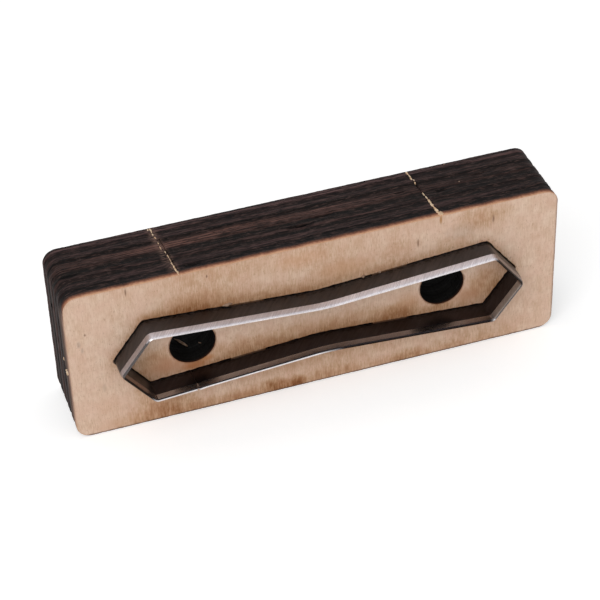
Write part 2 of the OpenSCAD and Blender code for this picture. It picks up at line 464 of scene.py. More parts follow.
# Torn fibres of the top tabs: start and end behind the face, place beside the tab line, width, height
TOP_LEFT_FIBRES = [
    (0.05, 1.4, 0.06, 0.5, 0.36), (1.1, 2.7, 0.02, 0.42, 0.38), (2.5, 3.7, 0.06, 0.36, 0.32),
    (3.5, 4.8, 0.0, 0.28, 0.34), (4.9, 6.1, 0.08, 0.22, 0.28), (6.2, 7.6, 0.1, 0.26, 0.3),
    (6.6, 7.1, -0.8, 0.36, 0.14), (7.9, 9.0, 0.05, 0.22, 0.26), (9.6, 10.9, -0.4, 0.26, 0.26),
    (11.6, 12.3, -0.26, 0.22, 0.22), (13.4, 14.4, -0.28, 0.4, 0.32), (14.9, 15.6, -0.38, 0.26, 0.24),
    (15.9, 17.75, -0.3, 0.44, 0.32), (16.7, 17.7, -0.8, 0.5, 0.22),
]
TOP_RIGHT_FIBRES = [
    (0.05, 1.9, 0.0, 0.92, 0.4), (1.4, 3.6, 0.05, 0.713, 0.4), (3.2, 5.2, -0.04, 0.644, 0.38),
    (4.9, 6.6, 0.05, 0.529, 0.36), (6.3, 8.0, -0.03, 0.345, 0.3), (7.8, 9.3, 0.0, 0.23, 0.24),
    (12.9, 13.6, 0.1, 0.253, 0.24), (13.8, 14.5, 0.24, 0.299, 0.26), (14.4, 15.4, -0.08, 0.391, 0.32),
    (15.2, 16.6, 0.02, 0.345, 0.3), (16.2, 17.75, -0.1, 0.529, 0.36),
]

# Knot at the front of the right tab: along from the tab line and behind the face at each end, width, height
KNOT_FIBRES = [(-0.45, 0.75, 1.0, 0.5, 1.1, 0.4), (0.5, 1.7, 0.7, 0.15, 0.7, 0.36)]

# Torn fibres of the end tabs: up from the tab and behind the face at each end, width, height
LEFT_END_FIBRES = [
    (-0.1, 2.6, -1.0, 3.8, 0.6, 0.44), (-0.9, 2.7, -0.1, 3.5, 0.45, 0.4), (0.3, 3.2, -0.6, 3.9, 0.4, 0.4),
    (-1.4, 3.1, -0.8, 3.3, 0.35, 0.3), (-0.4, 2.2, -0.5, 2.8, 0.35, 0.34), (1.0, 5.2, 1.4, 6.0, 0.3, 0.22),
]
RIGHT_END_FIBRE = (0.0, 1.0, 0.1, 3.5, 0.5, 0.42)

# Chips at the upper kerf: place along, length, lift at the end, width
KERF_CHIPS = [(-21.0, 2.2, 0.14, 0.8), (9.6, 1.0, 0.05, 0.68), (13.4, 0.7, 0.0, 0.56)]
KERF_CHIP_H, KERF_CHIP_GAP = 0.5, 0.26

# Chips on the top side: along and behind the face at each end, seat below the side, width, height
TOP_CHIPS = [
    (-10.3, 7.2, -10.2, 7.9, 0.14, 0.34, 0.12), (35.7, 10.0, 35.9, 10.6, 0.14, 0.42, 0.12),
    (34.8, 17.3, 35.4, 17.5, 0.2, 0.36, 0.42),
]

# Fibres in the left hole: key, both ends from its middle, its low wall and the face, outwards, width, height
HOLE_FIBRES = [
    ("hole", (0.2, -0.1, 5.4), (-2.0, 0.3, 8.4), UP, 0.5, 0.28),
    ("hole2", (2.9, 0.72, 4.2), (2.5, 0.5, 5.0), (-0.45, 0.88, 0), 0.26, 0.16),
]

# Height of the hole's low wall, taken a little beside its middle
LOW_WALL_X = 1.3
HOLE_LOW_WALL = -math.sqrt(HOLE_R ** 2 - LOW_WALL_X ** 2)


def splinter(shell, start, end, out, width, height, key, root=0.25, steps=7):
    """A torn sliver of wood from start to end, rooted in the surface that it stands on."""
    start, end, out = (np.array(p, float) for p in (start, end, out))
    along = (end - start) / np.linalg.norm(end - start)
    side = np.cross(out, along)
    draw = random.Random(key)
    rings = []
    for k in range(steps + 1):
        t = k / steps
        taper = min(1.0, 0.25 + 2.4 * min(t, 1 - t))
        w = width / 2 * taper * draw.uniform(0.7, 1.15)
        h = height * taper * draw.uniform(0.55, 1.0)
        at = start + (end - start) * t + side * width * draw.uniform(-0.16, 0.16)
        lean = draw.uniform(-0.3, 0.3) * w
        foot = [(-w, -root), (w, -root), (0.85 * w, 0.35 * h)]
        crest = [(0.3 * w + lean, h), (-0.35 * w + lean, 0.9 * h), (-0.9 * w, 0.3 * h)]
        rings.append(shell.add([at + side * s + out * o for s, o in foot + crest]))
    for ring, next_ring in pairwise(rings):
        shell.band(next_ring, ring)
    shell.face(rings[0])
    shell.face(rings[-1][::-1])


def top_tab(middle_x, fibres, key):
    """Torn fibres along one leaning tab line of the top side."""
    shell = Shell()
    for n, (start, end, beside, width, height) in enumerate(fibres):
        ends = [(tab_line(middle_x, d) + beside, TOP_SEAT, d) for d in (start, end)]
        splinter(shell, *ends, UP, width, height, "%s%d" % (key, n))
    return shell


def torn_tabs(raw_wood):
    """What is left of the tabs that held the board in its sheet."""
    right_tab = top_tab(TAB_RIGHT_X, TOP_RIGHT_FIBRES, "right")
    front_x = tab_line(TAB_RIGHT_X, 0)
    for n, (x, d, end_x, end_d, width, height) in enumerate(KNOT_FIBRES):
        ends = (front_x + x, TOP_SEAT, d), (front_x + end_x, TOP_SEAT, end_d)
        splinter(right_tab, *ends, UP, width, height, "knot%d" % n)
    left_end = Shell()
    for n, (v, d, end_v, end_d, width, height) in enumerate(LEFT_END_FIBRES):
        ends = (-END_SEAT, TAB_LEFT_V + v, d), (-END_SEAT, TAB_LEFT_V + end_v, end_d)
        splinter(left_end, *ends, LEFT, width, height, "end%d" % n)
    right_end = Shell()
    v, d, end_v, end_d, width, height = RIGHT_END_FIBRE
    ends = (END_SEAT, TAB_RIGHT_V + v, d), (END_SEAT, TAB_RIGHT_V + end_v, end_d)
    splinter(right_end, *ends, RIGHT, width, height, "right_end", steps=9)
    for name, shell in (
        ("torn_tab_top_left", top_tab(TAB_LEFT_X, TOP_LEFT_FIBRES, "left")),
        ("torn_tab_top_right", right_tab), ("torn_tab_left_end", left_end), ("torn_tab_right_end", right_end),
    ):
        shell.piece(name, [raw_wood], "plywood", FIBRE_CREASE)


def loose_chips(raw_wood):
    """Small fibres at the kerf, on the top side and in the left push-out hole."""
    shell = Shell()
    for n, (x, long, lift, width) in enumerate(KERF_CHIPS):
        v = WAIST_V + SLOPE * abs(x) + KERF_HALF + KERF_CHIP_GAP
        ends = (x, v, 0), (x + long, v + lift, 0)
        splinter(shell, *ends, FORWARD, width, KERF_CHIP_H, "kerf%d" % n, root=0.1, steps=6)
    for n, (x, d, end_x, end_d, seat, width, height) in enumerate(TOP_CHIPS):
        ends = (x, HALF_H - seat, d), (end_x, HALF_H - seat, end_d)
        splinter(shell, *ends, UP, width, height, "top%d" % n, steps=6)
    for key, start, end, out, width, height in HOLE_FIBRES:
        ends = [(x - HOLE_X, HOLE_LOW_WALL + v, d) for x, v, d in (start, end)]
        splinter(shell, *ends, out, width, height, key, root=0.3, steps=9)
    shell.piece("loose_wood_chips", [raw_wood], "plywood", FIBRE_CREASE)


# Rule

# Finishes of the rule, and those of the strips up its outside and its inside, from the back to the edge
OUTER_FLANK, OUTER_BEVEL, EDGE, INNER_FLANK, INNER_BEVEL = range(5)
OUTSIDE = (OUTER_FLANK, OUTER_FLANK, OUTER_FLANK, OUTER_BEVEL, OUTER_BEVEL, EDGE)
INSIDE = (INNER_FLANK, INNER_FLANK, INNER_FLANK, INNER_BEVEL, INNER_BEVEL, EDGE)
SHOULDER_STRIP, EDGE_ROW = 4, 6
RULE_CREASE = 8

# Even wear of the cutting edge, slow and fine: depth, waves along the strip
SLOW_WEAR, FINE_WEAR = (0.012, 0.7), (0.01, 3.1)

# Nicks of the cutting edge: length along the strip, depth
NICKS, NICK_HALF = [(31.0, 0.05), (64.5, 0.04), (92.0, 0.06), (118.3, 0.04), (151.2, 0.05)], 0.5

# The seam: room kept clear of other stations, step to the first one, wear of the strip's two ends
SEAM_ROOM, SEAM_STEP, FIRST_END_WEAR, LAST_END_WEAR = 0.3, 0.26, 0.5, 0.4

# How far the first end stands out of line at the seam, and over what length
SEAM_SHIFT, SEAM_SHIFT_LEN = 0.13, 2.0

# Where the short runs to the tips begin, and where the inner shoulder of the lower runs, darkened as painted
# dark reflection, ends
SHORT_RUN_X, DARK_SHOULDER_TO_X = CORNER_X + 0.4, CORNER_X - 0.6

# The softened corner between flank and bevel: height and depth
SOFT_H, SOFT_IN = 0.05, 0.012


def nick(s):
    """Wear on the cutting edge at a length along the strip."""
    worn = SLOW_WEAR[0] * abs(wave(s * SLOW_WEAR[1])) + FINE_WEAR[0] * abs(wave(s * FINE_WEAR[1], 5))
    for place, deep in NICKS:
        worn += deep * max(0.0, 1 - abs(s - place) / NICK_HALF)
    return worn


def half_section(worn):
    """Height above the back and half thickness of the rule, from its back to its edge."""
    shoulder = RULE_H - BEVEL_H
    return [
        (0.0, RULE_HALF), (NOTCH_TOP, RULE_HALF), (shoulder - SOFT_H, RULE_HALF),
        (shoulder, RULE_HALF - SOFT_IN), (RULE_H - FACET_H - worn, FACET_HALF),
        (RULE_H - HONED_H - worn, HONED_HALF), (RULE_H - worn, EDGE_LAND / 2),
    ]


def strip_path():
    """Stations along the strip, from one side of the seam once round to the other."""
    stations = whole_path(slope_cuts(NOTCH_HALF))
    angle = heading(-1)
    corner = path_corner(-1)[0]
    seam = ahead(Station(corner, angle), (SEAM_X - corner[0]) / math.cos(angle))
    on_run = [k for k, s in enumerate(stations) if s.at[1] < 0 and abs(s.angle - angle) < CLOSE]
    last = max(k for k in on_run if stations[k].at[0] < SEAM_X - SEAM_ROOM)
    first = min(k for k in on_run if k > last and stations[k].at[0] > SEAM_X + SEAM_ROOM)
    ends = [ahead(seam, SEAM_GAP / 2), ahead(seam, -SEAM_GAP / 2)]
    start, finish = [ends[0], ahead(ends[0], SEAM_STEP)], [ahead(ends[1], -SEAM_STEP), ends[1]]
    return start + stations[first:] + stations[:last + 1] + finish


def cutting_rule(*finishes):
    """Bent strip with its finishes: outer flank, outer bevel, edge, inner flank and inner bevel."""
    shell = Shell()
    strip = strip_path()
    end_wear = {0: FIRST_END_WEAR, len(strip) - 1: LAST_END_WEAR}
    columns, length = [], 0.0
    for k, station in enumerate(strip):
        length += float(np.linalg.norm(station.at - strip[max(k - 1, 0)].at))
        section = half_section(nick(length) + end_wear.get(k, 0.0))
        shift = SEAM_SHIFT * max(0.0, 1 - length / SEAM_SHIFT_LEN)
        columns.append([
            shell.add([(*across(station, side * half - shift), BOARD_T - h) for h, half in section])
            for side in (-1, 1)
        ])

    def over_bridge(a, b):
        x = (a.at[0] + b.at[0]) / 2
        return abs(abs(x) - BRIDGE_X) < reach(NOTCH_HALF)

    notched = [over_bridge(a, b) for a, b in pairwise(strip)]
    for k, ((out_a, in_a), (out_b, in_b)) in enumerate(pairwise(columns)):
        low = 1 if notched[k] else 0
        x, v = strip[k].at
        outside, within = list(OUTSIDE), list(INSIDE)
        # The outer shoulder of the short runs takes the dark edge finish, and the inner shoulder of the lower
        # runs the dark flank finish: painted dark reflections.
        if abs(x) > SHORT_RUN_X:
            outside[SHOULDER_STRIP] = EDGE
        if v < 0 and x < DARK_SHOULDER_TO_X:
            within[SHOULDER_STRIP] = INNER_FLANK
        for r in range(low, EDGE_ROW):
            shell.face((out_a[r], out_b[r], out_b[r + 1], out_a[r + 1]), outside[r])
            shell.face((in_b[r], in_a[r], in_a[r + 1], in_b[r + 1]), within[r])
        shell.face((out_a[EDGE_ROW], out_b[EDGE_ROW], in_b[EDGE_ROW], in_a[EDGE_ROW]), EDGE)
        shell.face((in_a[low], in_b[low], out_b[low], out_a[low]), OUTER_FLANK)
        if k and notched[k] != notched[k - 1]:
            wall = (out_a[0], in_a[0], in_a[1], out_a[1])
            shell.face(wall[::-1] if notched[k - 1] else wall, OUTER_FLANK)
    (out_a, in_a), (out_b, in_b) = columns[0], columns[-1]
    shell.face([*in_a[::-1], *out_a], OUTER_FLANK)
    shell.face([*out_b[::-1], *in_b], OUTER_FLANK)
    rule = shell.piece("steel_cutting_rule", finishes, "rule_steel", RULE_CREASE)
    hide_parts("cutting_rule")


# Wiring of the finishes

# Die millimetres of the shaded point: as one vector, along, behind the face and up
Place = namedtuple("Place", "at x depth v")


def paint(r, g, b):
    """A colour as it looks on a screen, given to a shader."""
    return tuple(((c / 255 + 0.055) / 1.055) ** 2.4 if c > 10 else c / 3294.6 for c in (r, g, b)) + (1.0,)


def shades(*stops):
    """Painted colours, each with its place in a band."""
    return [(at, paint(*colour)) for at, *colour in stops]


class Wiring:
    """Short words for placing and joining shader nodes."""

    def __init__(self, tree):
        self.tree = tree

    def add(self, kind, **settings):
        node = self.tree.nodes.new(kind)
        for key, value in settings.items():
            setattr(node, key, value)
        return node

    def feed(self, socket, value):
        if isinstance(value, bpy.types.NodeSocket):
            self.tree.links.new(value, socket)
        else:
            socket.default_value = value

    def fed(self, node, *values):
        """The node with values on its first inputs."""
        for socket, value in zip(node.inputs, values):
            self.feed(socket, value)
        return node

    def math(self, operation, *values, clamp=False):
        return self.fed(self.add("ShaderNodeMath", operation=operation, use_clamp=clamp), *values).outputs[0]

    def plus(self, *values):
        return reduce(lambda a, b: self.math("ADD", a, b), values)

    def times(self, *values):
        return reduce(lambda a, b: self.math("MULTIPLY", a, b), values)

    def minus(self, a, b):
        return self.math("SUBTRACT", a, b)

    def over(self, a, b, clamp=False):
        return self.math("DIVIDE", a, b, clamp=clamp)

    def most(self, a, b):
        return self.math("MAXIMUM", a, b)

    def size(self, a):
        return self.math("ABSOLUTE", a)

    def far(self, a, b):
        """Distance from zero of a point with these two places."""
        return self.math("SQRT", self.plus(self.times(a, a), self.times(b, b)))

    def wander(self, value, spread):
        """A noise turned into a shift of half a spread either way."""
        return self.times(self.minus(value, 0.5), spread)

    def vector(self, operation, a, b):
        outputs = self.fed(self.add("ShaderNodeVectorMath", operation=operation), a, b).outputs
        return outputs["Value"] if operation in ("DOT_PRODUCT", "DISTANCE") else outputs[0]

    def scaled(self, vector, factor):
        node = self.fed(self.add("ShaderNodeVectorMath", operation="SCALE"), vector)
        self.feed(node.inputs["Scale"], factor)
        return node.outputs[0]

    def point(self, *parts):
        return self.fed(self.add("ShaderNodeCombineXYZ"), *parts).outputs[0]

    def rise(self, value, low, high):
        """From 0 at low to 1 at high, eased at both ends."""
        node = self.add("ShaderNodeMapRange", interpolation_type="SMOOTHSTEP")
        return self.fed(node, value, low, high, 0.0, 1.0).outputs[0]

    def range(self, value, low, high):
        """A value of 0 to 1 spread from low to high."""
        return self.fed(self.add("ShaderNodeMapRange"), value, 0.0, 1.0, low, high).outputs[0]

    def blend(self, factor, a, b, how="MIX"):
        node = self.add("ShaderNodeMix", data_type="RGBA", blend_type=how)
        for socket, given in zip((node.inputs[0], node.inputs[6], node.inputs[7]), (factor, a, b)):
            self.feed(socket, given)
        return node.outputs[2]

    def stain(self, base, colour, *strengths):
        """A colour laid over a base by the product of its strengths."""
        return self.blend(self.times(*strengths), base, colour)

    def bands(self, value, stops):
        """Colours along a value, each at its place."""
        node = self.fed(self.add("ShaderNodeValToRGB"), value)
        ramp = node.color_ramp
        while len(ramp.elements) < len(stops):
            ramp.elements.new(0.5)
        for element, (at, colour) in zip(ramp.elements, stops):
            element.position = at
            element.color = colour
        return node.outputs[0]

    def place(self):
        """Where the shaded point lies on the die."""
        node = self.add("ShaderNodeVectorMath", operation="MULTIPLY_ADD")
        raw = self.add("ShaderNodeTexCoord").outputs["Object"]
        at = self.fed(node, raw, (1 / MM,) * 3, (0.0, -FACE_Y, -HALF_H)).outputs[0]
        return Place(at, *self.fed(self.add("ShaderNodeSeparateXYZ"), at).outputs)

    def noise(self, at, sizes=(1, 1, 1), detail=2.0, rough=0.55):
        """Noise whose features have these sizes along, behind the face and up."""
        node = self.add("ShaderNodeTexNoise")
        at = self.vector("MULTIPLY", at, tuple(1 / s for s in sizes))
        for label, value in (("Vector", at), ("Scale", 1.0), ("Detail", detail), ("Roughness", rough)):
            self.feed(node.inputs[label], value)
        return node.outputs["Fac"]

    def bump(self, height, distance, strength):
        node = self.add("ShaderNodeBump")
        for label, value in (("Height", height), ("Distance", distance * MM), ("Strength", strength)):
            self.feed(node.inputs[label], value)
        return node.outputs[0]

    def effect(self, tree, **values):
        """Places one of the shared effects."""
        node = self.add("ShaderNodeGroup", node_tree=tree)
        for label, value in values.items():
            self.feed(node.inputs[label.replace("_", " ")], value)
        return node.outputs

    def cloudy(self, size):
        return self.effect(MOTTLE, Size=size)["Mask"]

    def spot(self, at, beside, centre, half, ragged):
        """Mask of a soft patch round a centre."""
        return self.effect(
            SPOT, At=at, Beside=beside, Centre_at=centre[0], Centre_beside=centre[1],
            Half_at=half[0], Half_beside=half[1], Ragged=ragged,
        )["Mask"]

    def along_rule(self, upper, lower):
        """An amount that changes along the upper and the lower runs, each given as places and amounts."""
        where = self.effect(RUNS)
        found = []
        for stops in (upper, lower):
            shares = [((x + TIP_X) / (2 * TIP_X), (amount,) * 3 + (1,)) for x, amount in stops]
            found.append(self.bands(where["Along"], shares))
        return self.blend(where["Lower"], *found)


class Effect(Wiring):
    """A shared effect: a node group whose named inputs and outputs are plain numbers."""

    def __init__(self, name, **inputs):
        super().__init__(bpy.data.node_groups.new(name, "ShaderNodeTree"))
        for label, value in inputs.items():
            self.socket(label.replace("_", " "), "INPUT").default_value = value
        self.given = self.add("NodeGroupInput").outputs

    def socket(self, label, way):
        return self.tree.interface.new_socket(label, in_out=way, socket_type="NodeSocketFloat")

    def done(self, **results):
        """Puts the results out under their names and gives the finished group."""
        for label in results:
            self.socket(label, "OUTPUT")
        ends = self.add("NodeGroupOutput").inputs
        for label, value in results.items():
            self.feed(ends[label], value)
        return self.tree


class Finish(Wiring):
    """A new material, the numbers that are the same all over set on its shader."""

    def __init__(self, name, **constants):
        self.material = bpy.data.materials.new(name)
        self.material.use_nodes = True
        super().__init__(self.material.node_tree)
        self.done(**constants)

    def done(self, **values):
        """Feeds the shader and gives the material."""
        shader = self.tree.nodes["Principled BSDF"].inputs
        for label, value in values.items():
            self.feed(shader[label.replace("_", " ")], value)
        return self.material


# Shared effects

def wood_grain():
    """Upright fibres of a veneer: its figure from fine streaks, bands and blotches, and its short pores."""
    w = Effect("wood grain", Fibre_width=0.25, Fibre_length=2.5)
    width, length = w.given["Fibre width"], w.given["Fibre length"]
    fibre = w.vector("DIVIDE", w.place().at, w.point(width, width, length))
    fine = w.noise(fibre, detail=3.0, rough=0.6)
    band = w.noise(fibre, (4.0, 4.0, 2.8))
    blotch = w.noise(fibre, (11.0, 11.0, 1.6), 3.0, 0.6)
    figure = w.plus(w.times(fine, 0.46), w.times(band, 0.2), w.times(blotch, 0.34))
    pores = w.noise(fibre, (1.5, 1.5, 0.5))
    return w.done(Figure=w.rise(figure, 0.36, 0.64), Fibres=fine, Pores=w.rise(pores, 0.62, 0.76))


def soft_spot():
    """A patch with a soft ragged rim, at a place on the face or on a side."""
    w = Effect(
        "soft spot", At=0.0, Beside=0.0, Centre_at=0.0, Centre_beside=0.0,
        Half_at=1.0, Half_beside=1.0, Ragged=0.4,
    )
    ragged = w.noise(w.place().at, (1.6, 1.6, 2.4), 3.0)
    shares = [
        w.over(w.minus(w.given[label], w.given["Centre " + label.lower()]), w.given["Half " + label.lower()])
        for label in ("At", "Beside")
    ]
    away = w.plus(w.far(*shares), w.times(w.wander(ragged, w.given["Ragged"]), 2.0))
    return w.done(Mask=w.rise(away, 1.0, 0.15))


def rule_distance():
    """Millimetres from the middle line of the rule, the same on both faces of the board."""
    w = Effect("distance from the rule")
    here = w.place()
    point = w.point(w.size(here.x), w.size(here.v))
    found = []
    for a, b in pairwise([(0, WAIST_V, 0), (CORNER_X, CORNER_V, 0), (TIP_X, 0, 0)]):
        run = tuple(q - p for p, q in zip(a, b))
        offset = w.vector("SUBTRACT", point, a)
        share = w.over(w.vector("DOT_PRODUCT", offset, run), sum(c * c for c in run), clamp=True)
        found.append(w.vector("DISTANCE", offset, w.scaled(run, share)))
    return w.done(Distance=w.math("MINIMUM", *found))


def char():
    """Soot and charcoal left by the laser: its fibres, its flecks, its cut marks and its pitted height."""
    w = Effect("char", Fibre_run=5.0, Cut_mark=0.35)
    at = w.place().at

    def stretched(along, behind):
        return w.vector("DIVIDE", at, w.point(along, behind, along))

    run = w.given["Fibre run"]
    fibres = w.noise(stretched(run, 0.4), detail=5.0, rough=0.66)
    flecks = w.noise(stretched(w.times(run, 0.08), 0.26), detail=3.0, rough=0.6)
    marks = w.noise(stretched(w.given["Cut mark"], 5.0), detail=3.0)
    pits = w.noise(at, (0.35, 0.3, 0.35), 3.0, 0.7)
    height = w.plus(w.times(fibres, 0.5), w.times(marks, 0.25), w.times(pits, 0.5))
    return w.done(Shade=fibres, Flecks=flecks, Marks=marks, Height=height)


def mottle():
    """Slow uneven cloudiness of a surface."""
    w = Effect("mottle", Size=10.0)
    at = w.scaled(w.place().at, w.over(1.0, w.given["Size"]))
    return w.done(Mask=w.rise(w.noise(at, detail=3.0), 0.3, 0.72))


def grinding():
    """Marks of a grinding wheel, leaning across the height of the rule, and fine scratches along it."""
    w = Effect("grinding marks", Pitch=0.15)
    here = w.place()
    pitch = w.given["Pitch"]
    leaning = w.over(w.minus(here.x, w.times(here.depth, 0.8)), pitch)
    mark = w.point(leaning, w.over(here.depth, 5.0), w.over(here.v, w.times(pitch, 4.0)))
    scratches = w.noise(here.at, (6.0, 0.05, 6.0))
    return w.done(Marks=w.noise(mark, detail=3.0, rough=0.65), Scratches=w.rise(scratches, 0.62, 0.72))


def rule_runs():
    """Where a point lies on the rule: its share along the die, and 1 on the lower runs."""
    w = Effect("runs of the rule")
    here = w.place()
    along = w.over(w.plus(here.x, TIP_X), 2 * TIP_X, clamp=True)
    return w.done(Along=along, Lower=w.rise(here.v, 0.4, -0.4))


GRAIN, SPOT, NEAR_RULE, CHAR, MOTTLE, GRINDING, RUNS = (
    wood_grain(), soft_spot(), rule_distance(), char(), mottle(), grinding(), rule_runs()
)


# Face of the board

GRAIN_DARK, GRAIN_PALE = paint(210, 174, 145), paint(238, 210, 188)
CLOUD_PALE, CLOUD_PINK = paint(235, 206, 183), paint(227, 187, 165)
SPECK, PORE, GREYED = paint(176, 136, 106), paint(174, 132, 102), paint(184, 163, 147)
# The dark kerf rim is char, and on the front bridges it is painted shade under the rule
CHARRED_SPECK, KERF_CHAR_AND_SHADE = paint(84, 56, 40), paint(58, 40, 30)
HOLE_RIM, BARK = paint(122, 74, 46), paint(126, 92, 70)
TOASTED_EDGE, LOW_EDGE, RIGHT_EDGE = paint(176, 124, 86), paint(84, 60, 48), paint(140, 112, 102)

# Scorched patches of the face: place along, up, half width, half height, ragged, strength
SCORCHES = [
    (-12.0, 19.0, 48.0, 9.0, 0.1, 0.14), (-24.0, 15.0, 16.0, 6.0, 0.1, 0.1),
    (-27.0, 8.4, 15.0, 6.4, 0.08, 0.58), (-28.5, 8.4, 7.0, 2.8, 0.12, 0.3),
    (-36.5, 8.0, 4.0, 3.4, 0.15, 0.18), (-6.0, 7.0, 16.0, 5.4, 0.1, 0.32),
    (-15.0, 9.0, 9.0, 5.0, 0.1, 0.12), (1.0, 14.0, 14.0, 5.0, 0.15, 0.12),
    (14.0, 8.0, 16.0, 4.2, 0.1, 0.2), (37.5, 15.6, 9.0, 4.4, 0.2, 0.26),
    (0.0, -5.4, 44.0, 6.4, 0.1, 0.4), (-18.0, -4.0, 9.0, 3.2, 0.15, 0.12),
    (18.0, -4.6, 7.0, 3.2, 0.15, 0.4), (-36.5, -2.5, 6.0, 5.5, 0.15, 0.4),
    (38.5, -2.5, 6.5, 6.5, 0.15, 0.45), (-27.8, -5.6, 3.4, 1.8, 0.3, 0.5),
    (28.0, -5.6, 3.4, 1.6, 0.3, 0.3), (-34.0, -18.6, 14.0, 7.0, 0.15, 0.64),
    (-16.0, -18.6, 16.0, 4.6, 0.15, 0.5), (-10.0, -17.6, 4.6, 3.6, 0.25, 0.6),
    (-5.6, -17.8, 3.6, 3.4, 0.3, 0.78), (2.0, -17.0, 10.0, 3.4, 0.3, 0.28),
    (18.0, -19.0, 36.0, 4.4, 0.15, 0.28), (0.0, -10.4, 46.0, 7.0, 0.1, 0.25),
    (38.0, -16.0, 16.0, 5.0, 0.2, 0.16), (5.0, 10.4, 9.0, 4.2, 0.1, 0.18),
    (30.0, 10.4, 7.0, 3.2, 0.1, 0.16), (17.0, 12.4, 9.0, 5.0, 0.15, 0.14),
    (20.5, -17.6, 6.0, 3.2, 0.2, 0.26), (-35.5, -13.4, 10.0, 4.0, 0.15, 0.22),
    (-38.5, -9.2, 4.6, 4.6, 0.2, 0.24),
]

# What is left of the wood's colour where it is fully scorched, and how far past that the darkest place goes
SCORCHED, DEEPEST_SCORCH, SCORCH_STEPS = (0.44, 0.28, 0.158), 1.6, 6

# Faint stains of the face: place along, up, half width, half height, strength, colour
STAINS = [
    (27.6, 17.5, 0.4, 1.7, 0.85, paint(178, 126, 70)), (-51.9, 6.4, 0.6, 1.3, 0.35, paint(150, 132, 124)),
    (-51.3, 4.7, 0.5, 1.1, 0.35, paint(150, 132, 124)), (-47.6, -6.4, 0.7, 1.6, 0.3, paint(168, 140, 120)),
    (-33.0, -4.9, 8.5, 3.4, 0.7, paint(186, 132, 98)), (34.0, -4.4, 5.0, 3.4, 0.72, paint(190, 140, 106)),
    (20.0, -1.8, 4.0, 3.2, 0.5, paint(200, 150, 114)), (6.0, 10.6, 9.0, 3.0, 0.35, paint(206, 158, 120)),
    (-47.0, -12.0, 4.0, 5.0, 0.2, paint(214, 164, 130)), (-44.5, -17.0, 7.0, 3.2, 0.3, paint(198, 148, 106)),
    (-4.0, 15.6, 8.0, 3.0, 0.25, paint(222, 170, 132)), (-27.6, -6.0, 4.6, 1.4, 0.6, paint(184, 118, 76)),
    (-25.0, -4.8, 2.2, 1.1, 0.7, paint(188, 122, 68)),
]


def clean_birch(w, here, front, grain, specks):
    """The veneer before it was cut, with one greyed patch."""
    wood = w.blend(grain["Figure"], GRAIN_DARK, GRAIN_PALE)
    wood = w.stain(wood, CLOUD_PALE, w.cloudy(13.0), 0.4)
    wood = w.stain(wood, CLOUD_PINK, w.cloudy(4.5), 0.5)
    wood = w.stain(wood, SPECK, w.rise(specks, 0.56, 0.72), 0.55)
    wood = w.stain(wood, PORE, grain["Pores"], 0.42)
    return w.stain(wood, GREYED, w.spot(here.x, here.v, (32.6, 13.3), (6.0, 3.0), 0.5), front, 0.3)


def heat(w, here, front, near, ragged, from_bridge, figure):
    """What the heat of the laser leaves of the wood's colour."""
    by_cut = w.range(w.rise(from_bridge, BRIDGE_HALF - 2.5, BRIDGE_HALF + 1.5), 0.2, 1.0)
    around = w.times(w.rise(near, 3.2, 0.5), w.range(ragged, 0.05, 0.4), w.range(front, 2.4, 1.0))
    scorch = w.times(around, w.most(front, by_cut))
    for x, v, half_x, half_v, rag, strength in SCORCHES:
        mask = w.spot(here.x, here.v, (x, v), (half_x, half_v), rag)
        scorch = w.plus(scorch, w.times(mask, front, strength))
    streaks = w.range(w.rise(w.noise(here.at, (0.6, 1.0, 5.0), 3.0), 0.34, 0.68), 0.72, 1.3)
    streaks = w.plus(1.0, w.times(w.rise(here.v, -13.0, -15.5), w.minus(streaks, 1.0)))
    scorch = w.times(scorch, streaks, w.range(figure, 1.3, 0.7), 1 / DEEPEST_SCORCH)
    shares = [k / SCORCH_STEPS for k in range(SCORCH_STEPS + 1)]
    return w.bands(scorch, [(s, tuple(c ** (DEEPEST_SCORCH * s) for c in SCORCHED) + (1,)) for s in shares])


def burnt_rims(w, wood, here, front, near, ragged, from_bridge, specks):
    """Charred specks beside the rule, the dark rims of the kerf and the holes, and painted shade under the
    rule on the front bridges.
    """
    charred = w.times(w.rise(near, 2.4, 0.6), w.rise(specks, 0.56, 0.68))
    wood = w.stain(wood, CHARRED_SPECK, charred, front, 0.55)
    uncut = w.rise(from_bridge, BRIDGE_HALF - 0.4, BRIDGE_HALF + 0.3)
    rim = w.rise(w.plus(near, w.times(ragged, 0.35)), 1.05, 0.78)
    # Char along the cut; on the front it continues across the bridges as painted shade under the rule
    wood = w.stain(wood, KERF_CHAR_AND_SHADE, rim, w.most(w.times(front, 0.85), w.times(uncut, 0.95)))
    from_hole = w.far(w.minus(w.size(here.x), HOLE_X), here.v)
    ring = w.rise(w.plus(from_hole, w.wander(ragged, 0.7)), HOLE_R + 0.5, HOLE_R + 0.04)
    return w.stain(wood, HOLE_RIM, ring, 0.75)


def flecked(w, wood, here, front):
    """The face with its bark flecks and its faint stains."""
    for x, v, long, wide, _ in FLECKS:
        mask = w.spot(here.x, here.v, (x, v), (wide * 1.9, long * 1.3), 0.15)
        wood = w.stain(wood, BARK, mask, front, 0.75)
    for x, v, half_x, half_v, strength, colour in STAINS:
        mask = w.spot(here.x, here.v, (x, v), (half_x, half_v), 0.2)
        wood = w.stain(wood, colour, mask, front, strength)
    return wood


